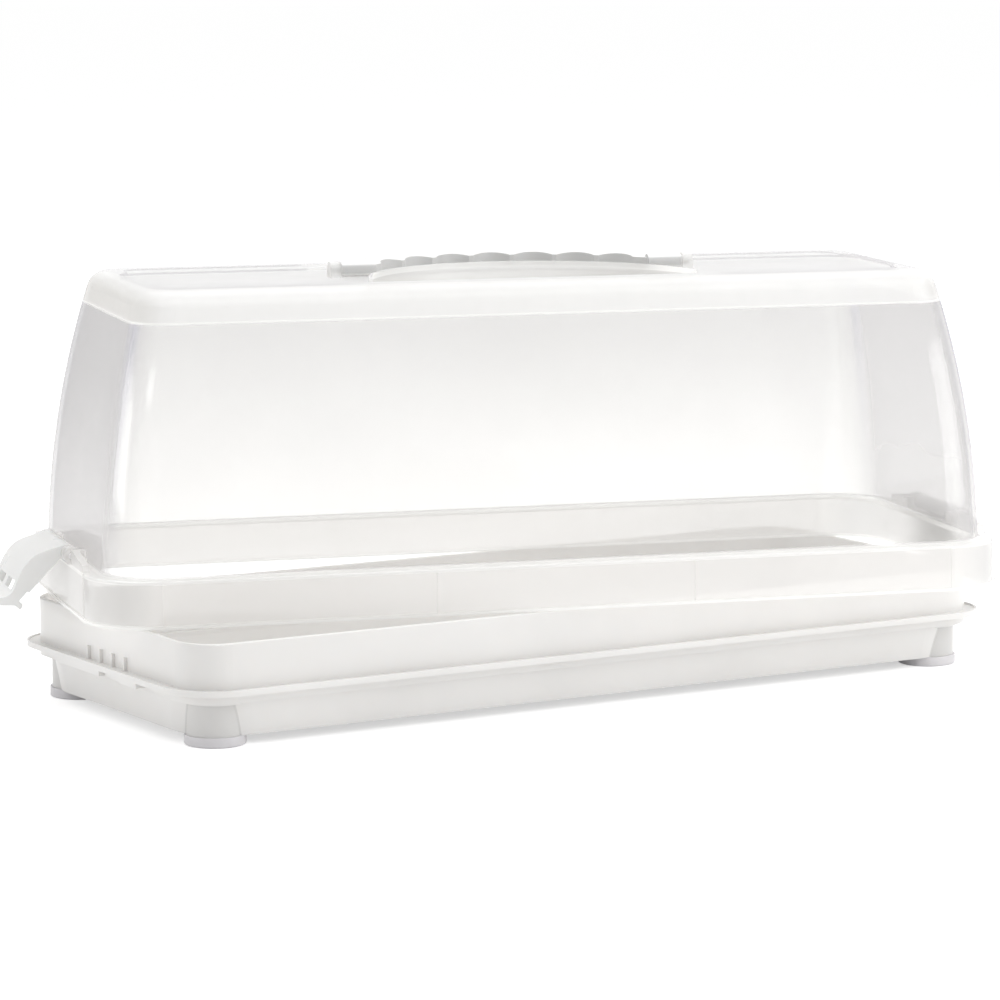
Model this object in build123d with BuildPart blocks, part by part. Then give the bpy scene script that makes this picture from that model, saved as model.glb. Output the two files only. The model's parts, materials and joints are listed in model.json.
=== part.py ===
"""Loaf-cake carrier: a tray on four feet, a clear hood lid with a fold-down handle, and a latch at each end.

Millimetres, +Z up. The origin is on the floor under the middle of the tray, and +X runs along the tray.
The lid stands loose on the tray's rim, turned a little about the vertical axis, with its latches swung open.
"""
from build123d import *
from math import cos, radians, sin, sqrt
import os

os.makedirs("parts", exist_ok=True)

# ---------------------------------------------------------------- tray
tray_length = 385.0
tray_width = 153.0
tray_corner = 17.0
tray_wall = 2.0
tray_floor = 2.2
tray_bottom = 4.2           # underside of the floor: the feet stand below it
tray_step = 18.3            # the wall steps in below this height
tray_step_inset = 2.6
tray_foot_inset = 4.6       # inset of the lower wall at the floor
tray_foot_corner = 24.0     # corner radius of the lower wall, which lets the posts stand proud
rim_top = 42.5
rim_round = 0.6
flange_bottom = 22.1
flange_thickness = 1.8
flange_reach = 5.6
lip_width = 1.1             # upturned edge of the flange
lip_rise = 0.6
catch_width = 72.0          # stretch of the flange that a latch hooks under
catch_drop = 2.0
catch_slot = 18.0
catch_slot_depth = 2.6
catch_slot_shift = 12.0
guide_ribs = 4              # upright ribs over each catch, which centre the skirt
guide_pitch = 11.0
guide_width = 1.8
guide_reach = 1.4
guide_height = 5.5

# ---------------------------------------------------------------- posts and feet
post_radius = 11.6
post_inset_x = 17.0
post_inset_y = 15.5
collar_radius = 13.2
collar_height = 4.8
foot_radius = 12.5
foot_edge = 0.8
plug_radius = 4.0
plug_height = 6.0
plug_end_gap = 0.3
plug_wall = 2.0

# ---------------------------------------------------------------- hood lid
skirt_end_gap = 2.0         # play between the skirt and the tray's wall
skirt_side_gap = 3.0
skirt_wall = 2.0
skirt_corner = 27.0
skirt_height = 19.4         # bottom of the skirt to the top of the shelf
shelf_edge = 1.2            # rounding where the skirt turns into the shelf
shelf_root = 1.6            # rounding where the shelf meets the hood
bead_reach = 0.7
bead_height = 1.4
rib_width = 1.4
rib_reach = 0.5
front_rib_spacing = 111.0
end_rib_spacing = 104.0
shelf_width = 6.5
hood_wall = 1.8
hood_height = 133.3         # bottom of the skirt to the top
hood_draft = 0.030          # inward lean at the shelf, mm per mm
hood_bow = 0.00111          # how the lean grows with height, per mm
hood_levels = 3
hood_corner = 20.5
hood_corner_top = 15.5
top_round = 9.0
top_wall = 2.2
top_round_inside = 6.0
seam_height = 120.0         # the frosted top begins at this line
seam_depth = 0.35
seam_width = 0.7
border_inset = 12.5         # from the hood's outline at the top
border_corner = 8.0
border_depth = 0.6
panel_length = 330.0
panel_width = 66.0
panel_corner = 14.0
panel_depth = 1.5

# ---------------------------------------------------------------- handle
bow_inner = 74.0            # radius of the bow's inner edge
bow_width = 12.5
bow_border_gap = 1.2        # back of the folded bow to the raised border
bow_thickness = 6.0
bow_clearance = 0.3
bow_edge = 1.0
bow_slope_width = 5.5       # the inner part of the bow's top slopes down
bow_slope_drop = 1.5
bow_pocket_gap = 1.0
scallops = 7
scallop_angle = 14.2
scallop_radius = 11.0
scallop_depth = 3.2
pin_radius = 1.5
pin_play = 0.05
hub_wall = 3.0              # end of the pin's hole to the bow's inner edge
lug_width = 4.6
lug_cap = 1.0               # closes the pin's hole in a lug
lug_gap = 0.35
lug_margin = 0.4
well_depth = 5.0
well_front = 34.0
well_margin = 3.3           # between the finger well and the bow
well_rim_rise = 2.3
well_rim_width = 1.2

# ---------------------------------------------------------------- latches
latch_width = 42.0
latch_barrel = 3.2
latch_play = 0.35           # end play between a latch and its ears
latch_clearance = 0.5       # closed latch to skirt and flange
ear_width = 6.0
ear_radius = 3.6
ear_root = 0.8              # how far the ear sinks into the hood's wall
rail_width = 3.0            # sloping rail beyond each ear, flush with the skirt
rail_length = 25.5
rail_rise = 6.6
rail_end_rise = 2.9
pivot_inset = 0.5           # hinge line inboard of the skirt's face
pivot_rise = 3.6            # hinge line above the shelf
arm_thickness = 2.0
shoulder_out = 5.2          # the arm's outer face, out from the hinge line
shoulder_up = -0.6
belly_out = 10.6
waist_out = 8.6
tab_out = 10.4
cheek_width = 2.5
hook_reach = 2.2
hook_thickness = 2.6
hook_gap = 0.25
tab_length = 2.6
tab_thickness = 3.0
tab_round = 1.4
windows = 2
window_width = 13.0
window_pitch = 19.0
window_height = 3.8

# ---------------------------------------------------------------- where the loose pieces stand
lid_yaw = -14.7             # the lid's turn about the vertical axis
lid_gap = 0.3               # skirt above the rim
left_latch_angle = 43.0
right_latch_angle = 16.0


def hood_lean(height):
    """How far the hood's wall leans in at a height above the bottom of the skirt."""
    rise = height - skirt_height
    return hood_draft * rise + hood_bow * rise**2


# ---------------------------------------------------------------- worked out
flange_top = flange_bottom + flange_thickness
flange_end = tray_length / 2 + flange_reach
catch_depth = tray_step_inset + flange_reach
catch_x = flange_end - catch_depth / 2
guide_x = tray_length / 2 - tray_wall / 2 + guide_reach / 2
guide_depth = tray_wall + guide_reach
post_x = tray_length / 2 - post_inset_x
post_y = tray_width / 2 - post_inset_y

skirt_length = tray_length + 2 * (skirt_end_gap + skirt_wall)
skirt_width = tray_width + 2 * (skirt_side_gap + skirt_wall)
hood_length = skirt_length - 2 * shelf_width
hood_width = skirt_width - 2 * shelf_width
shelf_floor = skirt_height - hood_wall
panel_floor = hood_height - panel_depth
hood_inside_top = panel_floor - top_wall
seated_skirt = rim_top - shelf_floor        # bottom of the skirt when the shelf is down on the rim
lid_plane = Plane(
    origin=(0, 0, rim_top + lid_gap),
    x_dir=(cos(radians(lid_yaw)), sin(radians(lid_yaw)), 0),
    z_dir=(0, 0, 1),
)

bow_outer = bow_inner + bow_width
border_shrink = hood_lean(hood_height) + border_inset
border_half_width = hood_width / 2 - border_shrink
bow_drop = bow_outer + bow_border_gap - border_half_width   # from the hinge line to the middle of the bow's arc
hub_radius = bow_thickness / 2
hub_inner = sqrt(bow_inner**2 - bow_drop**2)
hub_outer = sqrt(bow_outer**2 - bow_drop**2)
bow_axis_height = panel_floor + bow_clearance + hub_radius
lug_start = hub_outer + lug_gap
well_radius = bow_inner - well_margin

pivot_x = skirt_length / 2 - pivot_inset
pivot_height = skirt_height + pivot_rise
ear_centre = latch_width / 2 + latch_play + ear_width / 2


def rounded(length, width, radius, mode=Mode.ADD):
    """A rounded rectangle in the current sketch."""
    return RectangleRounded(length, width, radius, mode=mode)


def hood_outline(height, inset=0.0, mode=Mode.ADD):
    """The hood's outline at a height, shrunk by inset, in the current sketch."""
    shrink = hood_lean(height) + inset
    share = (height - skirt_height) / (hood_height - skirt_height)
    radius = hood_corner + (hood_corner_top - hood_corner) * share - inset
    return rounded(hood_length - 2 * shrink, hood_width - 2 * shrink, radius, mode)


def levels(start, end):
    """Heights of the hood's sections, evenly spaced from start to end."""
    return [start + (end - start) * step / (hood_levels - 1) for step in range(hood_levels)]


def latch_plane(side, opened=0.0, along=0.0, inward=0.0):
    """Across a latch's hinge line: x points out from the lid and y up when the latch is closed."""
    out = lid_plane.x_dir * side
    up = Vector(0, 0, 1)
    turn = radians(opened)
    hinge = out.cross(up)
    outward = out * cos(turn) + up * sin(turn)
    origin = lid_plane.from_local_coords((side * pivot_x, 0, pivot_height)) + hinge * along - outward * inward
    return Plane(origin=origin, x_dir=outward, z_dir=hinge)


def shelf_end_plane(side):
    """On the skirt's end face, level with the shelf: x points back and y up."""
    origin = lid_plane.from_local_coords((side * skirt_length / 2, 0, skirt_height))
    return Plane(origin=origin, x_dir=lid_plane.y_dir * side, z_dir=lid_plane.x_dir * side)


def handle_plane(distance):
    """Across the handle's hinge line at a distance from its middle: x points back, y up when folded."""
    side = 1 if distance > 0 else -1
    origin = lid_plane.from_local_coords((distance, 0, bow_axis_height))
    return Plane(origin=origin, x_dir=lid_plane.y_dir * side, z_dir=lid_plane.x_dir * side)


# ================================================================ tray
with BuildPart() as base_tray:
    for height, inset in ((tray_bottom, tray_foot_inset), (tray_step, tray_step_inset)):
        with BuildSketch(Plane.XY.offset(height)):
            rounded(tray_length - 2 * inset, tray_width - 2 * inset, tray_foot_corner)
    loft(ruled=True)
    with BuildSketch(Plane.XY.offset(tray_step)):
        rounded(tray_length, tray_width, tray_corner)
    extrude(amount=rim_top - tray_step)

    # flange: a ledge with an upturned lip
    with BuildSketch(Plane.XY.offset(flange_bottom)):
        rounded(tray_length + 2 * flange_reach, tray_width + 2 * flange_reach, tray_corner + flange_reach)
    extrude(amount=flange_thickness)
    gutter = flange_reach - lip_width
    with BuildSketch(Plane.XY.offset(flange_top)):
        rounded(tray_length + 2 * flange_reach, tray_width + 2 * flange_reach, tray_corner + flange_reach)
        rounded(tray_length + 2 * gutter, tray_width + 2 * gutter, tray_corner + gutter, Mode.SUBTRACT)
    extrude(amount=lip_rise)

    # catches: the flange is thicker where a latch hooks under it, with a slot in its edge
    with BuildSketch(Plane.XY.offset(flange_bottom - catch_drop)):
        with GridLocations(2 * catch_x, 0, 2, 1):
            Rectangle(catch_depth, catch_width)
    extrude(amount=catch_drop + flange_thickness / 2)
    with BuildSketch(Plane.XY.offset(flange_bottom - catch_drop)):
        for side in (-1, 1):
            with Locations((side * (flange_end - catch_slot_depth / 2), side * catch_slot_shift)):
                Rectangle(catch_slot_depth, catch_slot)
    extrude(amount=catch_drop, mode=Mode.SUBTRACT)

    # upright ribs that centre the skirt over each catch
    with BuildSketch(Plane.XY.offset(flange_bottom)):
        for side in (-1, 1):
            with Locations((side * guide_x, 0)):
                with GridLocations(0, guide_pitch, 1, guide_ribs):
                    Rectangle(guide_depth, guide_width)
    extrude(amount=flange_thickness + guide_height)

    # corner posts with a collar under the flange
    with BuildSketch(Plane.XY.offset(tray_bottom)):
        with GridLocations(2 * post_x, 2 * post_y, 2, 2):
            Circle(post_radius)
    extrude(amount=flange_bottom - tray_bottom)
    with BuildSketch(Plane.XY.offset(flange_bottom - collar_height)):
        with GridLocations(2 * post_x, 2 * post_y, 2, 2):
            Circle(collar_radius)
    extrude(amount=collar_height)

    # the inside of the tray, with a step where the wall steps in
    for height, inset in ((tray_bottom + tray_floor, tray_foot_inset), (tray_step, tray_step_inset)):
        shrink = inset + tray_wall
        with BuildSketch(Plane.XY.offset(height)):
            rounded(tray_length - 2 * shrink, tray_width - 2 * shrink, tray_foot_corner - tray_wall)
    loft(ruled=True, mode=Mode.SUBTRACT)
    with BuildSketch(Plane.XY.offset(tray_step)):
        rounded(tray_length - 2 * shrink, tray_width - 2 * shrink, tray_foot_corner - tray_wall)
    extrude(amount=tray_wall, mode=Mode.SUBTRACT)
    with BuildSketch(Plane.XY.offset(tray_step + tray_wall)):
        rounded(tray_length - 2 * tray_wall, tray_width - 2 * tray_wall, tray_corner - tray_wall)
    extrude(amount=rim_top - tray_step - tray_wall, mode=Mode.SUBTRACT)

    # blind sockets for the feet's plugs
    with BuildSketch(Plane.XY.offset(tray_bottom)):
        with GridLocations(2 * post_x, 2 * post_y, 2, 2):
            Circle(plug_radius + plug_wall)
    extrude(amount=plug_height + plug_wall)
    with BuildSketch(Plane.XY.offset(tray_bottom)):
        with GridLocations(2 * post_x, 2 * post_y, 2, 2):
            Circle(plug_radius)
    extrude(amount=plug_height, mode=Mode.SUBTRACT)

    fillet(base_tray.faces().sort_by(Axis.Z)[-1].edges(), radius=rim_round)
base_tray.part.label = "base_tray"
export_step(base_tray.part, "parts/base_tray.step")


# ================================================================ feet
foot_places = {
    "front_left_foot": (-post_x, -post_y),
    "front_right_foot": (post_x, -post_y),
    "back_left_foot": (-post_x, post_y),
    "back_right_foot": (post_x, post_y),
}
for foot_name, foot_place in foot_places.items():
    with BuildPart() as foot:
        with BuildSketch(Plane.XY):
            with Locations(foot_place):
                Circle(foot_radius)
        extrude(amount=tray_bottom)
        fillet(foot.faces().sort_by(Axis.Z)[0].edges(), radius=foot_edge)
        with BuildSketch(Plane.XY.offset(tray_bottom)):
            with Locations(foot_place):
                Circle(plug_radius)
        extrude(amount=plug_height - plug_end_gap)
    foot.part.label = foot_name
    export_step(foot.part, f"parts/{foot_name}.step")


# ================================================================ hood lid
with BuildPart() as lid_hood:
    # skirt and shelf
    with BuildSketch(lid_plane):
        rounded(skirt_length, skirt_width, skirt_corner)
    extrude(amount=skirt_height)
    fillet(lid_hood.faces().sort_by(Axis.Z)[-1].edges(), radius=shelf_edge)

    # walls and top
    for level in levels(skirt_height, hood_height):
        with BuildSketch(lid_plane.offset(level)):
            hood_outline(level)
    loft()
    shelf_face = lid_hood.faces().filter_by(Axis.Z).group_by(Axis.Z)[-2].sort_by(SortBy.AREA)[-1]
    fillet(shelf_face.inner_wires()[0].edges(), radius=shelf_root)
    fillet(lid_hood.faces().sort_by(Axis.Z)[-1].edges(), radius=top_round)

    # bead along the bottom of the skirt, and upright ribs
    with BuildSketch(lid_plane):
        rounded(skirt_length + 2 * bead_reach, skirt_width + 2 * bead_reach, skirt_corner + bead_reach)
    extrude(amount=bead_height)
    with BuildSketch(lid_plane):
        for spacing in (front_rib_spacing, skirt_length - 2 * skirt_corner):
            with GridLocations(spacing, skirt_width, 2, 2):
                Rectangle(rib_width, 2 * rib_reach)
        with GridLocations(skirt_length, end_rib_spacing, 2, 2):
            Rectangle(2 * rib_reach, rib_width)
    extrude(amount=skirt_height - shelf_edge)

    # the inside
    with BuildSketch(lid_plane):
        rounded(skirt_length - 2 * skirt_wall, skirt_width - 2 * skirt_wall, skirt_corner - skirt_wall)
    extrude(amount=shelf_floor, mode=Mode.SUBTRACT)
    for level in levels(shelf_floor, hood_inside_top):
        with BuildSketch(lid_plane.offset(level)):
            hood_outline(level, hood_wall)
    loft(mode=Mode.SUBTRACT)
    ceiling = lid_hood.faces().filter_by(Axis.Z).group_by(Axis.Z)[-2].sort_by(SortBy.AREA)[-1]
    fillet(ceiling.edges(), radius=top_round_inside)

    # a line round the walls where the frosted top begins
    with BuildSketch(lid_plane.offset(seam_height)):
        rounded(hood_length, hood_width, hood_corner)
        hood_outline(seam_height, seam_depth, Mode.SUBTRACT)
    extrude(amount=seam_width, mode=Mode.SUBTRACT)

    # raised border, then the recessed panel with a round pocket for the folded handle
    with BuildSketch(lid_plane.offset(hood_height)):
        rounded(hood_length - 2 * border_shrink, 2 * border_half_width, border_corner)
    extrude(amount=-border_depth, mode=Mode.SUBTRACT)
    with BuildSketch(lid_plane.offset(hood_height)):
        rounded(panel_length, panel_width, panel_corner)
        with Locations((0, -bow_drop)):
            Circle(bow_outer + bow_pocket_gap)
        rounded(panel_length, 2 * border_half_width, border_corner, Mode.INTERSECT)
        with Locations((0, -panel_width / 2)):
            Rectangle(hood_length, hood_width, align=(Align.CENTER, Align.MIN), mode=Mode.INTERSECT)
    extrude(amount=-panel_depth, mode=Mode.SUBTRACT)

    # finger well inside the bow, with a raised rim
    with BuildSketch(lid_plane.offset(panel_floor - well_depth - top_wall)):
        with Locations((0, -bow_drop)):
            Circle(well_radius + hood_wall)
        with Locations((0, -well_front - hood_wall)):
            Rectangle(hood_length, hood_width, align=(Align.CENTER, Align.MIN), mode=Mode.INTERSECT)
    extrude(amount=well_depth + top_wall)
    with BuildSketch(lid_plane.offset(panel_floor)):
        with Locations((0, -bow_drop)):
            Circle(well_radius + well_rim_width)
        with Locations((0, -well_front)):
            Rectangle(hood_length, hood_width, align=(Align.CENTER, Align.MIN), mode=Mode.INTERSECT)
    extrude(amount=well_rim_rise)
    with BuildSketch(lid_plane.offset(panel_floor - well_depth)):
        with Locations((0, -bow_drop)):
            Circle(well_radius)
        with Locations((0, -well_front)):
            Rectangle(hood_length, hood_width, align=(Align.CENTER, Align.MIN), mode=Mode.INTERSECT)
    extrude(amount=well_depth + well_rim_rise, mode=Mode.SUBTRACT)

    # lugs that hold the handle's pins
    for side in (-1, 1):
        with BuildSketch(handle_plane(side * lug_start)):
            Circle(hub_radius + lug_margin)
            with Locations((0, -hub_radius - bow_clearance)):
                Rectangle(2 * (hub_radius + lug_margin), hub_radius + bow_clearance, align=(Align.CENTER, Align.MIN))
        extrude(amount=lug_width)
        with BuildSketch(handle_plane(side * lug_start)):
            Circle(pin_radius)
        extrude(amount=lug_width - lug_cap, mode=Mode.SUBTRACT)

    # ears that hold the latches' pins
    for side in (-1, 1):
        for end in (-1, 1):
            with BuildSketch(latch_plane(side, along=end * ear_centre)):
                Circle(ear_radius)
                with Locations((pivot_inset, -pivot_rise - hood_wall / 2)):
                    Rectangle(
                        shelf_width + ear_root,
                        pivot_rise + hood_wall / 2 + ear_radius / 2,
                        align=(Align.MAX, Align.MIN),
                    )
            extrude(amount=ear_width / 2, both=True)
            with BuildSketch(shelf_end_plane(side)):
                with Locations((end * ear_centre, 0)):
                    Polygon(
                        (0, -hood_wall / 2),
                        (0, rail_rise),
                        (end * rail_length, rail_end_rise),
                        (end * rail_length, -hood_wall / 2),
                        align=None,
                    )
            extrude(amount=-rail_width)
        with BuildSketch(latch_plane(side)):
            Circle(pin_radius)
        extrude(amount=ear_centre + ear_width / 2, both=True, mode=Mode.SUBTRACT)
lid_hood.part.label = "lid_hood"
export_step(lid_hood.part, "parts/lid_hood.step")


# ================================================================ handle and its pins
with BuildPart() as handle:
    bow_plane = lid_plane.offset(bow_axis_height - hub_radius)
    with BuildSketch(bow_plane):
        with Locations((0, -bow_drop)):
            Circle(bow_outer)
            Circle(bow_inner, mode=Mode.SUBTRACT)
        Rectangle(2 * bow_outer, bow_outer, align=(Align.CENTER, Align.MIN), mode=Mode.INTERSECT)
    extrude(amount=bow_thickness)
    top_face = handle.faces().sort_by(Axis.Z)[-1]
    fillet(top_face.edges().sort_by(SortBy.LENGTH)[-1], radius=bow_edge)
    top_face = handle.faces().sort_by(Axis.Z)[-1]
    inner_edge = top_face.edges().filter_by(GeomType.CIRCLE).sort_by(SortBy.LENGTH)[0]
    chamfer(inner_edge, length=bow_slope_width, length2=bow_slope_drop, reference=top_face)
    # finger scallops along the inner edge
    with BuildSketch(bow_plane):
        with Locations((0, -bow_drop)):
            with PolarLocations(
                bow_inner + scallop_depth - scallop_radius,
                scallops,
                start_angle=90 - scallop_angle * (scallops - 1) / 2,
                angular_range=scallop_angle * (scallops - 1),
                endpoint=True,
            ):
                Circle(scallop_radius)
    extrude(amount=bow_thickness, mode=Mode.SUBTRACT)
    for side in (-1, 1):
        with BuildSketch(handle_plane(side * hub_inner)):
            Circle(hub_radius)
        extrude(amount=hub_outer - hub_inner)
        with BuildSketch(handle_plane(side * (hub_inner + hub_wall))):
            Circle(pin_radius + pin_play)
        extrude(amount=hub_outer - hub_inner - hub_wall, mode=Mode.SUBTRACT)
handle.part.label = "handle"
export_step(handle.part, "parts/handle.step")

for pin_name, side in (("handle_pin_left", -1), ("handle_pin_right", 1)):
    with BuildPart() as handle_pin:
        pin_start = hub_inner + hub_wall + lug_gap
        with BuildSketch(handle_plane(side * pin_start)):
            Circle(pin_radius)
        extrude(amount=lug_start + lug_width - lug_cap - pin_start)
    handle_pin.part.label = pin_name
    export_step(handle_pin.part, f"parts/{pin_name}.step")


# ================================================================ latches and their pins
pivot_seated = seated_skirt + pivot_height
skirt_face = pivot_inset + bead_reach + latch_clearance
flange_face = pivot_inset + flange_end - skirt_length / 2 + latch_clearance
notch_top = flange_top + lip_rise + latch_clearance - pivot_seated
hook_top = flange_bottom - catch_drop - hook_gap - pivot_seated
hook_bottom = hook_top - hook_thickness
tab_bottom = hook_bottom - tab_length
hook_tip = flange_face - latch_clearance - hook_reach
arm_top = -latch_barrel - pivot_rise / 2


# across the hinge line: x points out from the lid and y up
with BuildSketch(Plane.XY) as latch_outline:
    with BuildLine():
        Spline(
            (0, latch_barrel),
            (shoulder_out, shoulder_up),
            (belly_out, notch_top / 2),
            (waist_out, notch_top),
            (tab_out, tab_bottom),
            tangents=((1, 0), (1, -1)),
        )
        Polyline(
            (tab_out, tab_bottom),
            (tab_out - tab_thickness, tab_bottom - tab_round),
            (flange_face, hook_bottom),
            (hook_tip, hook_bottom),
            (hook_tip, hook_top - hook_thickness / 3),
            (hook_tip + hook_thickness / 3, hook_top),
            (flange_face, hook_top),
            (flange_face, notch_top),
            (skirt_face, notch_top),
            (skirt_face, 0),
            (0, 0),
            (0, latch_barrel),
        )
    make_face()
    Circle(latch_barrel)

for latch_name, side, opened in (("left_latch", -1, left_latch_angle), ("right_latch", 1, right_latch_angle)):
    with BuildPart() as latch:
        with BuildSketch(latch_plane(side, opened)):
            add(latch_outline.sketch)
        extrude(amount=latch_width / 2, both=True)
        # hollow behind the arm, between the cheeks and above the hook
        with BuildSketch(latch_plane(side, opened, inward=arm_thickness)):
            add(latch_outline.sketch)
            with Locations((skirt_face, arm_top)):
                Rectangle(2 * tab_out, arm_top - hook_top, align=(Align.MIN, Align.MAX), mode=Mode.INTERSECT)
        extrude(amount=latch_width / 2 - cheek_width, both=True, mode=Mode.SUBTRACT)
        # windows over the hook
        for window in range(windows):
            along = (window - (windows - 1) / 2) * window_pitch
            with BuildSketch(latch_plane(side, opened, along)):
                with Locations((flange_face, notch_top)):
                    Rectangle(2 * tab_out, window_height, align=(Align.MIN, Align.MAX))
            extrude(amount=window_width / 2, both=True, mode=Mode.SUBTRACT)
        with BuildSketch(latch_plane(side, opened)):
            Circle(pin_radius + pin_play)
        extrude(amount=latch_width / 2, both=True, mode=Mode.SUBTRACT)
    latch.part.label = latch_name
    export_step(latch.part, f"parts/{latch_name}.step")

    with BuildPart() as latch_pin:
        with BuildSketch(latch_plane(side)):
            Circle(pin_radius)
        extrude(amount=ear_centre + ear_width / 2, both=True)
    latch_pin.part.label = f"{latch_name}_pin"
    export_step(latch_pin.part, f"parts/{latch_name}_pin.step")
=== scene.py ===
"""Looks of the loaf-cake carrier: a white tray on feet under a clear hood with a frosted top.

The handle and latches are white. Metres, in the part's own frame, in which the lid stands turned on the tray.
"""
import json
import math

import bpy
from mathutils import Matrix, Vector

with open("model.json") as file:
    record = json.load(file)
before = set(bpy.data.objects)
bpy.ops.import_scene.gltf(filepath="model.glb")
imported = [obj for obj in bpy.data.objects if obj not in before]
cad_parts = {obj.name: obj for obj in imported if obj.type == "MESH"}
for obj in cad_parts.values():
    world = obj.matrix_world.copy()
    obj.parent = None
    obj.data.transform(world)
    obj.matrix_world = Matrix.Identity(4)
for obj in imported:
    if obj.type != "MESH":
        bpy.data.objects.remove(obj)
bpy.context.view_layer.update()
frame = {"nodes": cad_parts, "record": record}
nodes = frame["nodes"]

MM = 0.001
UP = (0, 0, 1)

CAMERA_AT = Vector((-0.988, -1.614, 0.3475))
CAMERA_AZIMUTH = math.radians(-31.32)
CAMERA_DOWN = math.radians(8.13)
CAMERA_LENS_MM = 161.2

# ---------------------------------------------------------------- places on the part
LID_YAW = math.radians(-14.7)
SEAM_Z = 0.1628          # the hood is frosted above this height
SHELF_Z = 0.0622         # top of the skirt
SKIRT_Z = 0.0428         # bottom of the skirt
BEAD = 0.0014            # height of the bead along the skirt's bottom
HALF_HOOD = 0.190        # half the hood's length at the shelf
STEPS_Z = 0.1745         # the top's steps are above this height
STEPS_START = 0.080      # and further than this from the lid's middle, beyond the handle
WELL_END = 0.072         # nearer than this they are the finger well's rim
HUB_START = 0.056        # the handle's hubs begin this far from the lid's middle
POST_X = 0.1755          # axes of the tray's corner posts
POST_Y = 0.061
POST_RADIUS = 0.0120
FLANGE_Z = 0.0221        # underside of the tray's flange, below which the posts get painted shade

# ---------------------------------------------------------------- noise patterns, in features per metre
# white plastic: colour, gloss, scuffs, slow waves and grain
CLOUDS = dict(scale=14, detail=4)
PATCHES = dict(scale=60, detail=3)
SCUFFS = dict(scale=240, detail=5, roughness=0.7, stretch=(1, 1, 6))
WAVES = dict(scale=22, detail=1)
GRAIN = dict(scale=1800, detail=2)
# hood: haze, frost, colour, gloss of the clear and the frosted part, slow waves and grain
HOOD_HAZE = dict(scale=9, detail=3)
HOOD_FROST = dict(scale=30, detail=3)
HOOD_CLOUDS = dict(scale=20, detail=3)
HOOD_CLEAR_GLOSS = dict(scale=90, detail=4)
HOOD_FROST_GLOSS = dict(scale=200, detail=4)
HOOD_WAVES = dict(scale=9, detail=0)
HOOD_GRAIN = dict(scale=1500, detail=3)
NOISE_LOW, NOISE_HIGH = 0.3, 0.7             # nearly all of a noise pattern lies between these
CLOUD_STOPS = (0.32, 0.68)                   # where the clouds reach their darkest and lightest colour
HOOD_CLOUD_STOPS = (0.35, 0.65)

# ---------------------------------------------------------------- white plastics
SCUFF_START, SCUFF_FULL = 0.62, 0.78         # the share of the scuff pattern that shows as scuffs
SCUFF_ROUGHNESS = 0.12
WAVE_HEIGHT = 0.08 * MM
WAVE_STRENGTH = 0.5
GRAIN_STRENGTH = 0.5
STEEP, STEEPER = 0.35, 0.1                   # how level a face is where the painted upright shade begins and is full
HUB_SHADE = 0.35                             # the round hubs get painted shade as if they were this much steeper
WHITE_SUBSURFACE = 0.15
SUBSURFACE_RADIUS = (1.0, 0.9, 0.8)
SUBSURFACE_DEPTH = 2 * MM
COAT_ROUGHNESS = 0.1
WHITE_IOR = 1.49

# ---------------------------------------------------------------- hood
# how much of what lies behind each surface is hidden
HAZE = 0.095
HAZE_CHANGE = 0.015      # by which the haze changes from place to place
HIGH_HAZE = 0.10         # more at the top of the walls
EDGE_HAZE = 0.6          # more where the plastic is seen at a slant
RIM_HAZE = 0.2           # and again right at its edges
SKIRT_HAZE = 0.4
LINE_COVER = 0.7         # seam, shelf edge, bead, steps and corners, where the painted highlight and shade lines lie
CORNER_SHARE = 0.7
FROST = 0.52
FROST_CHANGE = 0.03
LAMP_SHADE = 0.3         # share of the hood's cover that lamps meet

WALL_TINT = (0.972, 0.97, 0.965)
WALL_DARK = (0.70, 0.695, 0.70)
WALL_LIGHT = (0.76, 0.755, 0.76)
# painted shade on the hood's end walls
PAINTED_END_SHADE = (0.575, 0.565, 0.575)
# painted refraction shade for the dark line up each corner
PAINTED_CORNER_SHADE = (0.50, 0.50, 0.60)
# painted shade on the sides of the top's steps
PAINTED_STEP_SHADE = (0.50, 0.49, 0.52)
# painted dark edge, for the clear plastic's refraction where it is seen edge on
PAINTED_RIM_SHADE = (0.42, 0.41, 0.46)
SKIRT_COLOUR = (0.95, 0.94, 0.93)
# painted shade on the skirt's ends
PAINTED_SKIRT_END_SHADE = (0.80, 0.795, 0.79)
# painted highlight along the seam, shelf edge, bead and the finger well's rim
PAINTED_HIGHLIGHT_COLOUR = (0.97, 0.97, 0.96)
FROST_COLOUR = (0.89, 0.89, 0.885)
# painted shade on the frosted part of the end walls
PAINTED_FROST_END_SHADE = (0.74, 0.73, 0.715)

SLANT_BLEND = 0.32       # the Layer Weight node's own setting
RIM_START, RIM_FULL = 0.72, 0.95
END_START, END_FULL = 0.35, 0.85             # how far a face looks along the lid to count as an end wall
SKIRT_END_START, SKIRT_END_FULL = 0.1, 0.6   # the same for the skirt's ends
CORNER_AT = 0.86         # the corner's painted dark line is where a face looks this far along the lid
CORNER_REACH, CORNER_CORE = 0.1, 0.04
CORNER_LOW, CORNER_HIGH = 0.1, 0.8           # the line's strength at its bottom and top
RISER_START, RISER_FULL = 0.5, 0.3           # how level a face is to count as the side of a step
STEP_STRENGTH = 0.8
CLEAR_ROUGHNESS = (0.08, 0.14)
FROST_ROUGHNESS = (0.42, 0.52)
HOOD_WAVE_HEIGHT = 0.1 * MM
HOOD_WAVE_STRENGTH = 0.3
HOOD_GRAIN_HEIGHT = 0.02 * MM
HOOD_GRAIN_STRENGTH = 0.4
HOOD_IOR = 1.5
GLOSS_IOR = 1.45
GLOSS_LIMIT = 0.1        # most of the surface's own gloss, seen at a slant
WALL_GLOW, END_GLOW = 0.4, 0.65              # share of the cover that lets light through, on walls and ends

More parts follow.
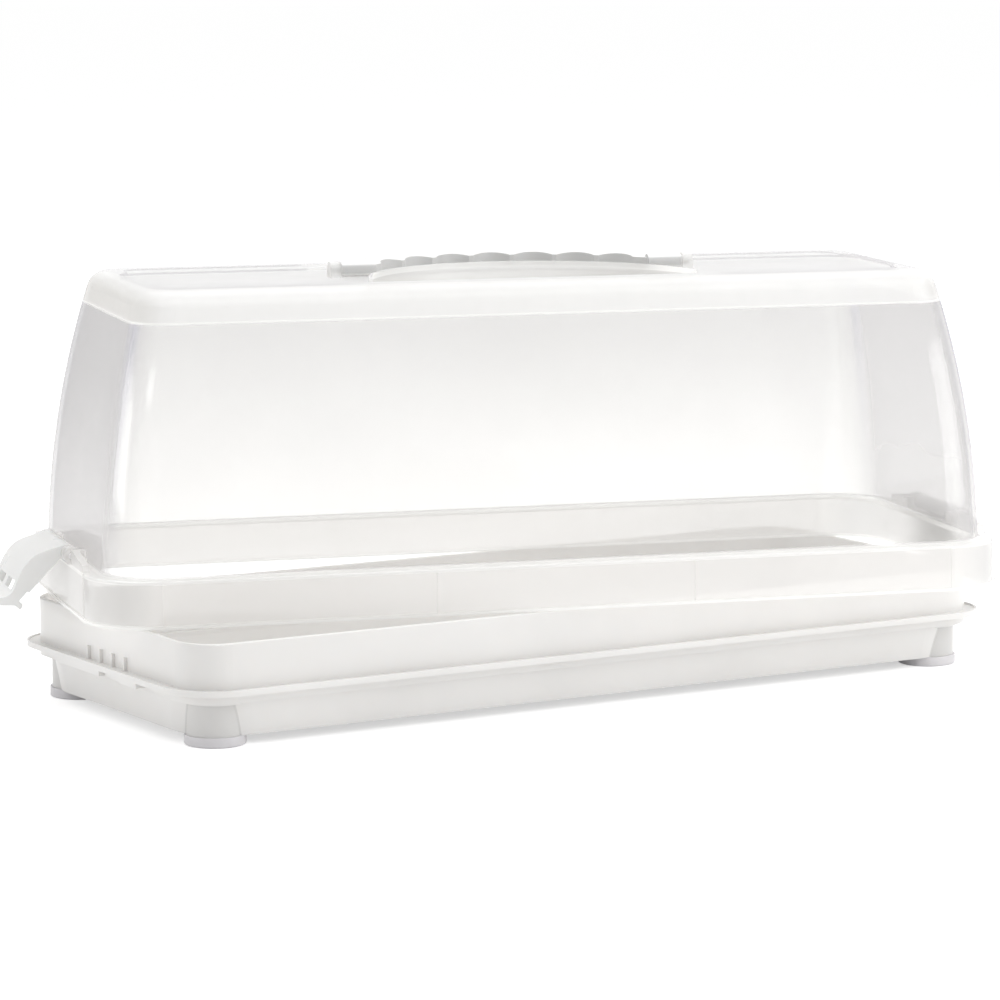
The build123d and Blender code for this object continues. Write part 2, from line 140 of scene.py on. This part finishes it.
# ---------------------------------------------------------------- floor and backdrop
FLOOR_RADIUS = 9
FLOOR_COLOUR = (0.9, 0.9, 0.9)
FLOOR_LIFT = 0.5         # brings the lit floor up to the white of the backdrop
WORLD_LIGHT = 0.55       # strength of the white world as a light
WORLD_SEEN = 1.0         # and where it is seen


# ---------------------------------------------------------------- material building blocks
class Tree:
    """A material's node tree with short ways to add and join nodes."""

    def __init__(self, name):
        self.mat = bpy.data.materials.new(name)
        self.mat.use_nodes = True
        self.nodes = self.mat.node_tree.nodes
        self.links = self.mat.node_tree.links
        self.nodes.clear()
        self.out = self.nodes.new("ShaderNodeOutputMaterial")
        self.coords = self.nodes.new("ShaderNodeTexCoord").outputs["Object"]

    def put(self, socket, value):
        """Give a socket a link or a fixed value."""
        if isinstance(value, bpy.types.NodeSocket):
            self.links.new(value, socket)
        else:
            socket.default_value = value

    def math(self, operation, first, second=0.0, clamp=False):
        node = self.nodes.new("ShaderNodeMath")
        node.operation = operation
        node.use_clamp = clamp
        self.put(node.inputs[0], first)
        self.put(node.inputs[1], second)
        return node.outputs[0]

    def most(self, first, *others):
        """The highest of several numbers."""
        for other in others:
            first = self.math("MAXIMUM", first, other)
        return first

    def noise(self, scale, detail, roughness=0.5, stretch=(1, 1, 1)):
        """Noise in object space from 0 to 1."""
        mapping = self.nodes.new("ShaderNodeMapping")
        mapping.inputs["Scale"].default_value = stretch
        self.links.new(self.coords, mapping.inputs["Vector"])
        node = self.nodes.new("ShaderNodeTexNoise")
        node.inputs["Scale"].default_value = scale
        node.inputs["Detail"].default_value = detail
        node.inputs["Roughness"].default_value = roughness
        self.links.new(mapping.outputs[0], node.inputs["Vector"])
        return node.outputs["Fac"]

    def span(self, value, low, high, to_low, to_high):
        """A number moved from one range to another, and kept inside it."""
        node = self.nodes.new("ShaderNodeMapRange")
        node.inputs["From Min"].default_value = low
        node.inputs["From Max"].default_value = high
        node.inputs["To Min"].default_value = to_low
        node.inputs["To Max"].default_value = to_high
        self.links.new(value, node.inputs["Value"])
        return node.outputs[0]

    def spread(self, pattern, low, high):
        """A noise pattern that runs from low to high."""
        return self.span(self.noise(**pattern), NOISE_LOW, NOISE_HIGH, low, high)

    def band(self, value, middle, reach, core):
        """1 within core of the middle, falling to 0 at reach."""
        off = self.math("ABSOLUTE", self.math("SUBTRACT", value, middle))
        return self.span(off, reach, core, 0, 1)

    def blend(self, share, first, second):
        """A number between two sockets."""
        node = self.nodes.new("ShaderNodeMix")
        self.put(node.inputs["Factor"], share)
        self.put(node.inputs[2], first)
        self.put(node.inputs[3], second)
        return node.outputs[0]

    def tint(self, share, first, second):
        """A colour between a socket and a fixed colour."""
        node = self.nodes.new("ShaderNodeMix")
        node.data_type = "RGBA"
        self.put(node.inputs["Factor"], share)
        self.put(node.inputs[6], first)
        node.inputs[7].default_value = (*second, 1)
        return node.outputs[2]

    def mix(self, share, first, second):
        """A mix of two shaders."""
        node = self.nodes.new("ShaderNodeMixShader")
        self.put(node.inputs[0], share)
        self.links.new(first, node.inputs[1])
        self.links.new(second, node.inputs[2])
        return node.outputs[0]

    def ramp(self, value, stops, dark, light):
        """A colour from dark to light, reached at the two stops."""
        node = self.nodes.new("ShaderNodeValToRGB")
        for element, position, colour in zip(node.color_ramp.elements, stops, (dark, light)):
            element.position = position
            element.color = (*colour, 1)
        self.links.new(value, node.inputs[0])
        return node.outputs[0]

    def split_coords(self):
        node = self.nodes.new("ShaderNodeSeparateXYZ")
        self.links.new(self.coords, node.inputs[0])
        return node.outputs

    def height(self):
        return self.split_coords()["Z"]

    def flat_normal(self, direction):
        """How far a face looks along a direction or against it, from 0 to 1."""
        node = self.nodes.new("ShaderNodeVectorMath")
        node.operation = "DOT_PRODUCT"
        self.links.new(self.nodes.new("ShaderNodeNewGeometry").outputs["Normal"], node.inputs[0])
        node.inputs[1].default_value = direction
        return self.math("ABSOLUTE", node.outputs["Value"])

    def along_lid(self):
        """Distance from the lid's middle along its length, whichever way."""
        place = self.split_coords()
        by_x = self.math("MULTIPLY", place["X"], math.cos(LID_YAW))
        by_y = self.math("MULTIPLY", place["Y"], math.sin(LID_YAW))
        return self.math("ABSOLUTE", self.math("ADD", by_x, by_y))

    def from_post(self):
        """Distance from the nearest corner post's axis."""
        place = self.split_coords()
        total = 0.0
        for axis, post in (("X", POST_X), ("Y", POST_Y)):
            off = self.math("SUBTRACT", self.math("ABSOLUTE", place[axis]), post)
            total = self.math("ADD", self.math("POWER", off, 2.0), total)
        return self.math("SQRT", total)

    def bump(self, height, distance, strength, normal=None):
        """A normal with bumps of a height of up to distance, over another normal if one is given."""
        node = self.nodes.new("ShaderNodeBump")
        node.inputs["Strength"].default_value = strength
        node.inputs["Distance"].default_value = distance
        self.links.new(height, node.inputs["Height"])
        if normal is not None:
            self.links.new(normal, node.inputs["Normal"])
        return node.outputs[0]

    def plastic(self, colour, rough, normal, ior, coat=0.0, subsurface=0.0):
        node = self.nodes.new("ShaderNodeBsdfPrincipled")
        self.put(node.inputs["Base Color"], colour)
        self.put(node.inputs["Roughness"], rough)
        self.links.new(normal, node.inputs["Normal"])
        node.inputs["IOR"].default_value = ior
        node.inputs["Coat Weight"].default_value = coat
        node.inputs["Coat Roughness"].default_value = COAT_ROUGHNESS
        node.inputs["Subsurface Weight"].default_value = subsurface
        node.inputs["Subsurface Radius"].default_value = SUBSURFACE_RADIUS
        node.inputs["Subsurface Scale"].default_value = SUBSURFACE_DEPTH
        return node.outputs[0]

    def translucent(self, colour):
        node = self.nodes.new("ShaderNodeBsdfTranslucent")
        self.links.new(colour, node.inputs["Color"])
        return node.outputs[0]

    def finish(self, surface):
        self.links.new(surface, self.out.inputs[0])
        return self.mat


# ---------------------------------------------------------------- white plastics
def moulded(name, dark, light, rough=(0.3, 0.42), grain=0.01, coat=0.0, upright=1.0, posts=1.0, milky=0.0):
    """White moulded plastic: faint clouding, a fine surface grain, slow waves and a few scuffs.

    Upright faces are darker by the factor upright, and the corner posts by the factor posts: both are painted
    shade.
    The share milky is how much light goes through. The grain is in millimetres.
    """
    tree = Tree(name)
    colour = tree.ramp(tree.noise(**CLOUDS), CLOUD_STOPS, dark, light)
    # painted shade: upright faces, and the handle's hubs in part, are darker by the factor upright
    if upright < 1:
        level = tree.flat_normal(UP)
        hub = tree.span(tree.along_lid(), HUB_START, HUB_START + 1 * MM, 0, HUB_SHADE)
        steep = tree.span(tree.math("SUBTRACT", level, hub), STEEP, STEEPER, 0, 1)
        colour = tree.tint(steep, colour, [channel * upright for channel in dark])
    # painted shade: the corner posts below the flange are darker by the factor posts
    if posts < 1:
        solid = tree.span(tree.from_post(), POST_RADIUS + 0.2 * MM, POST_RADIUS, 0, 1)
        below_flange = tree.span(tree.height(), FLANGE_Z, FLANGE_Z - 1 * MM, 0, 1)
        solid = tree.math("MULTIPLY", solid, below_flange)
        colour = tree.tint(solid, colour, [channel * posts for channel in dark])
    scuffs = tree.span(tree.noise(**SCUFFS), SCUFF_START, SCUFF_FULL, 0, SCUFF_ROUGHNESS)
    roughness = tree.math("ADD", tree.spread(PATCHES, *rough), scuffs)
    waves = tree.bump(tree.noise(**WAVES), WAVE_HEIGHT, WAVE_STRENGTH)
    normal = tree.bump(tree.noise(**GRAIN), grain * MM, GRAIN_STRENGTH, waves)
    surface = tree.plastic(colour, roughness, normal, WHITE_IOR, coat=coat, subsurface=WHITE_SUBSURFACE)
    if milky > 0:
        surface = tree.mix(milky, surface, tree.translucent(colour))
    return tree.finish(surface)


# ---------------------------------------------------------------- hood
def hood_zones(tree):
    """The height, how slanting the view is, and where each part of the hood is, as shares from 0 to 1.

    Only slant and rim, the look of clear plastic seen nearly edge on, change with the view.
    """
    z = tree.height()
    along = tree.along_lid()
    endways = tree.flat_normal((math.cos(LID_YAW), math.sin(LID_YAW), 0))
    facing = tree.nodes.new("ShaderNodeLayerWeight")
    facing.inputs["Blend"].default_value = SLANT_BLEND
    slant = facing.outputs["Facing"]

    below_shelf = tree.span(z, SHELF_Z + 1.0 * MM, SHELF_Z + 0.2 * MM, 0, 1)
    beyond_wall = tree.span(along, HALF_HOOD + 0.2 * MM, HALF_HOOD + 0.6 * MM, 0, 1)
    skirt = tree.most(below_shelf, beyond_wall)
    seam = tree.band(z, SEAM_Z + 0.35 * MM, 0.6 * MM, 0.35 * MM)
    shelf_line = tree.band(z, SHELF_Z - 0.7 * MM, 1.0 * MM, 0.6 * MM)
    bead_line = tree.span(z, SKIRT_Z + BEAD, SKIRT_Z + BEAD - 0.3 * MM, 0, 1)

    # a thin dark line of painted refraction runs up each corner beside the end wall, strongest near the top
    corner_strength = tree.span(z, SHELF_Z + 20 * MM, SEAM_Z - 10 * MM, CORNER_LOW, CORNER_HIGH)
    corner = tree.math("MULTIPLY", tree.band(endways, CORNER_AT, CORNER_REACH, CORNER_CORE), corner_strength)

    # the sides of the top's steps, painted darker as shade, and of the finger well's rim, painted lighter as
    # highlight
    riser = tree.span(tree.flat_normal(UP), RISER_START, RISER_FULL, 0, 1)
    raised = tree.math("MULTIPLY", riser, tree.span(z, STEPS_Z, STEPS_Z + 0.2 * MM, 0, 1))
    beyond_handle = tree.span(along, STEPS_START, STEPS_START + 2 * MM, 0, STEP_STRENGTH)
    within_well = tree.span(along, WELL_END, WELL_END - 1 * MM, 0, 1)

    return {
        "z": z,
        "slant": slant,
        "rim": tree.span(slant, RIM_START, RIM_FULL, 0, 1),
        "frost": tree.span(z, SEAM_Z - 0.3 * MM, SEAM_Z + 0.3 * MM, 0, 1),
        "skirt": skirt,
        "skirt_end": tree.math("MULTIPLY", skirt, tree.span(endways, SKIRT_END_START, SKIRT_END_FULL, 0, 1)),
        "end_wall": tree.span(endways, END_START, END_FULL, 0, 1),
        "corner": corner,
        "seam": seam,
        "line": tree.most(shelf_line, bead_line),
        "step": tree.math("MULTIPLY", raised, beyond_handle),
        "well": tree.math("MULTIPLY", raised, within_well),
    }


def hood_cover(tree, zones):
    """How much of what lies behind the hood's surface is hidden."""
    walls = tree.spread(HOOD_HAZE, HAZE - HAZE_CHANGE, HAZE + HAZE_CHANGE)
    walls = tree.math("ADD", walls, tree.span(zones["z"], SHELF_Z, SEAM_Z, 0, HIGH_HAZE))
    walls = tree.math("ADD", walls, tree.math("MULTIPLY", zones["slant"], EDGE_HAZE))
    walls = tree.math("ADD", walls, tree.math("MULTIPLY", zones["skirt"], SKIRT_HAZE))
    walls = tree.math("ADD", walls, tree.math("MULTIPLY", zones["rim"], RIM_HAZE), clamp=True)
    frosted = tree.spread(HOOD_FROST, FROST - FROST_CHANGE, FROST + FROST_CHANGE)
    cover = tree.blend(zones["frost"], walls, frosted)
    corner = tree.math("MULTIPLY", zones["corner"], CORNER_SHARE)
    for part in (zones["seam"], zones["line"], zones["step"], corner):
        cover = tree.most(cover, tree.math("MULTIPLY", part, LINE_COVER))
    # hazy plastic scatters lamp light onwards, so it shades what lies inside only a little
    path = tree.nodes.new("ShaderNodeLightPath")
    return tree.math("MULTIPLY", cover, tree.span(path.outputs["Is Shadow Ray"], 0, 1, 1, LAMP_SHADE))


def hood_colour(tree, zones):
    # painted shade on the end walls, frosted ends, skirt ends, corners, step sides and edge-on rims; painted
    # highlight on the seam, shelf edge, bead and finger well's rim
    frosted_end = tree.math("MULTIPLY", zones["frost"], zones["end_wall"])
    painted_highlight = tree.most(zones["seam"], zones["line"], zones["well"])
    colour = tree.ramp(tree.noise(**HOOD_CLOUDS), HOOD_CLOUD_STOPS, WALL_DARK, WALL_LIGHT)
    for share, paint in (
        (zones["end_wall"], PAINTED_END_SHADE),
        (zones["corner"], PAINTED_CORNER_SHADE),
        (zones["skirt"], SKIRT_COLOUR),
        (zones["skirt_end"], PAINTED_SKIRT_END_SHADE),
        (zones["frost"], FROST_COLOUR),
        (frosted_end, PAINTED_FROST_END_SHADE),
        (painted_highlight, PAINTED_HIGHLIGHT_COLOUR),
        (zones["step"], PAINTED_STEP_SHADE),
        (zones["rim"], PAINTED_RIM_SHADE),
    ):
        colour = tree.tint(share, colour, paint)
    return colour


def hood_plastic():
    """Clear walls with a light haze, frosted above the seam; the skirt, ears and rails are milky."""
    tree = Tree("hood_clear")
    zones = hood_zones(tree)
    cover = hood_cover(tree, zones)
    colour = hood_colour(tree, zones)

    clear = tree.spread(HOOD_CLEAR_GLOSS, *CLEAR_ROUGHNESS)
    satin = tree.spread(HOOD_FROST_GLOSS, *FROST_ROUGHNESS)
    roughness = tree.blend(zones["frost"], clear, satin)
    waves = tree.bump(tree.noise(**HOOD_WAVES), HOOD_WAVE_HEIGHT, HOOD_WAVE_STRENGTH)
    grain = tree.math("MULTIPLY", tree.noise(**HOOD_GRAIN), zones["frost"])
    normal = tree.bump(grain, HOOD_GRAIN_HEIGHT, HOOD_GRAIN_STRENGTH, waves)

    solid = tree.plastic(colour, roughness, normal, HOOD_IOR)
    glow_share = tree.span(zones["end_wall"], 0, 1, WALL_GLOW, END_GLOW)
    body = tree.mix(glow_share, solid, tree.translucent(colour))
    through = tree.nodes.new("ShaderNodeBsdfTransparent")
    through.inputs["Color"].default_value = (*WALL_TINT, 1)
    mixed = tree.mix(cover, through.outputs[0], body)

    # the surface's own gloss lies over all of it, up to a limit
    gloss = tree.nodes.new("ShaderNodeBsdfGlossy")
    tree.links.new(roughness, gloss.inputs["Roughness"])
    tree.links.new(normal, gloss.inputs["Normal"])
    fresnel = tree.nodes.new("ShaderNodeFresnel")
    fresnel.inputs["IOR"].default_value = GLOSS_IOR
    shine = tree.math("MINIMUM", fresnel.outputs[0], GLOSS_LIMIT)
    return tree.finish(tree.mix(shine, mixed, gloss.outputs[0]))


# ---------------------------------------------------------------- finishes of the CAD nodes
finishes = {
    # posts=0.86 paints shade on the tray's corner posts
    "tray_white": moulded("tray_white", dark=(0.77, 0.76, 0.745), light=(0.82, 0.81, 0.795), posts=0.86),
    # the feet's lavender grey is partly their own soft plastic and partly painted shade
    "foot_white": moulded(
        "foot_white", dark=(0.69, 0.675, 0.695), light=(0.76, 0.745, 0.76), rough=(0.4, 0.55), grain=0.04
    ),
    "hood_clear": hood_plastic(),
    "fittings_white": moulded(
        "fittings_white", dark=(0.89, 0.89, 0.885), light=(0.94, 0.94, 0.93), rough=(0.26, 0.38),
        coat=0.1, milky=0.3,
    ),
    "pin_white": moulded(
        "pin_white", dark=(0.78, 0.78, 0.78), light=(0.84, 0.84, 0.84), rough=(0.25, 0.4)
    ),
    # the handle is painted darker than the white latches, and darker again on its upright faces: painted
    # shade
    "bow_painted_shade": moulded(
        "bow_painted_shade", dark=(0.78, 0.78, 0.775), light=(0.84, 0.84, 0.835), rough=(0.26, 0.38), upright=0.74
    ),
}
own_finish = {"handle": "bow_painted_shade"}
for row in frame["record"]["subparts"]:
    mesh = nodes[row["node"]].data
    mesh.materials.clear()
    mesh.materials.append(finishes[own_finish.get(row["node"], row["material_slot"])])


# ---------------------------------------------------------------- floor, backdrop, lights and camera
def seen_rays(node_tree):
    """1 for rays that show the backdrop: to the camera, in a gloss or through glass."""
    path = node_tree.nodes.new("ShaderNodeLightPath")
    seen = path.outputs["Is Camera Ray"]
    for ray in ("Is Glossy Ray", "Is Transmission Ray"):
        either = node_tree.nodes.new("ShaderNodeMath")
        either.operation = "MAXIMUM"
        node_tree.links.new(seen, either.inputs[0])
        node_tree.links.new(path.outputs[ray], either.inputs[1])
        seen = either.outputs[0]
    return seen


def floor_white():
    """A white floor that keeps its shadows and is lifted to the backdrop's white where it is seen."""
    tree = Tree("floor")
    diffuse = tree.nodes.new("ShaderNodeBsdfDiffuse")
    diffuse.inputs["Color"].default_value = (*FLOOR_COLOUR, 1)
    lift = tree.nodes.new("ShaderNodeEmission")
    seen = seen_rays(tree.mat.node_tree)
    tree.links.new(tree.math("MULTIPLY", seen, FLOOR_LIFT), lift.inputs["Strength"])
    lit = tree.nodes.new("ShaderNodeAddShader")
    tree.links.new(diffuse.outputs[0], lit.inputs[0])
    tree.links.new(lift.outputs[0], lit.inputs[1])
    return tree.finish(lit.outputs[0])


def softbox(name, place, aim, size, watts):
    """A rectangular lamp that points from its place at its aim."""
    light = bpy.data.lights.new(name, "AREA")
    light.shape = "RECTANGLE"
    light.size, light.size_y = size
    light.energy = watts
    lamp = bpy.data.objects.new(name, light)
    lamp.location = place
    lamp.rotation_euler = (Vector(aim) - Vector(place)).to_track_quat("-Z", "Y").to_euler()
    bpy.context.scene.collection.objects.link(lamp)


bpy.ops.mesh.primitive_circle_add(vertices=96, radius=FLOOR_RADIUS, fill_type="NGON", location=(0, 0, 0))
floor = bpy.context.object
floor.name = "floor"
floor.data.materials.append(floor_white())

world = bpy.data.worlds.new("world")
bpy.context.scene.world = world
world.use_nodes = True
background = world.node_tree.nodes["Background"]
background.inputs[0].default_value = (1, 1, 1, 1)
strength = world.node_tree.nodes.new("ShaderNodeMapRange")
strength.inputs["To Min"].default_value = WORLD_LIGHT
strength.inputs["To Max"].default_value = WORLD_SEEN
world.node_tree.links.new(seen_rays(world.node_tree), strength.inputs["Value"])
world.node_tree.links.new(strength.outputs[0], background.inputs[1])

# name, place, what it points at, width and height, watts
softbox("key", (0.8, -1.3, 1.25), (0, 0, 0.08), (1.2, 0.9), 8)
softbox("top", (0.1, 0.2, 1.5), (0, 0, 0.08), (1.4, 1.0), 13)
softbox("low_right", (0.85, -1.0, 0.25), (0.12, 0, 0.03), (1.0, 0.45), 2.8)
softbox("low_left", (-1.4, 0.5, 0.3), (-0.1, 0, 0.03), (0.9, 0.4), 3)
softbox("right_end", (1.3, 0.5, 0.6), (0.2, 0, 0.12), (0.5, 0.5), 2.2)
softbox("corner", (-1.3, -0.97, 0.69), (-0.18, -0.05, 0.13), (0.5, 0.14), 0.7)

camera_data = bpy.data.cameras.new("camera")
camera = bpy.data.objects.new("camera", camera_data)
bpy.context.scene.collection.objects.link(camera)
camera_data.lens = CAMERA_LENS_MM
camera.location = CAMERA_AT
camera.rotation_euler = (math.radians(90) - CAMERA_DOWN, 0, CAMERA_AZIMUTH)
bpy.context.scene.camera = camera
bpy.context.scene.view_settings.view_transform = "Standard"
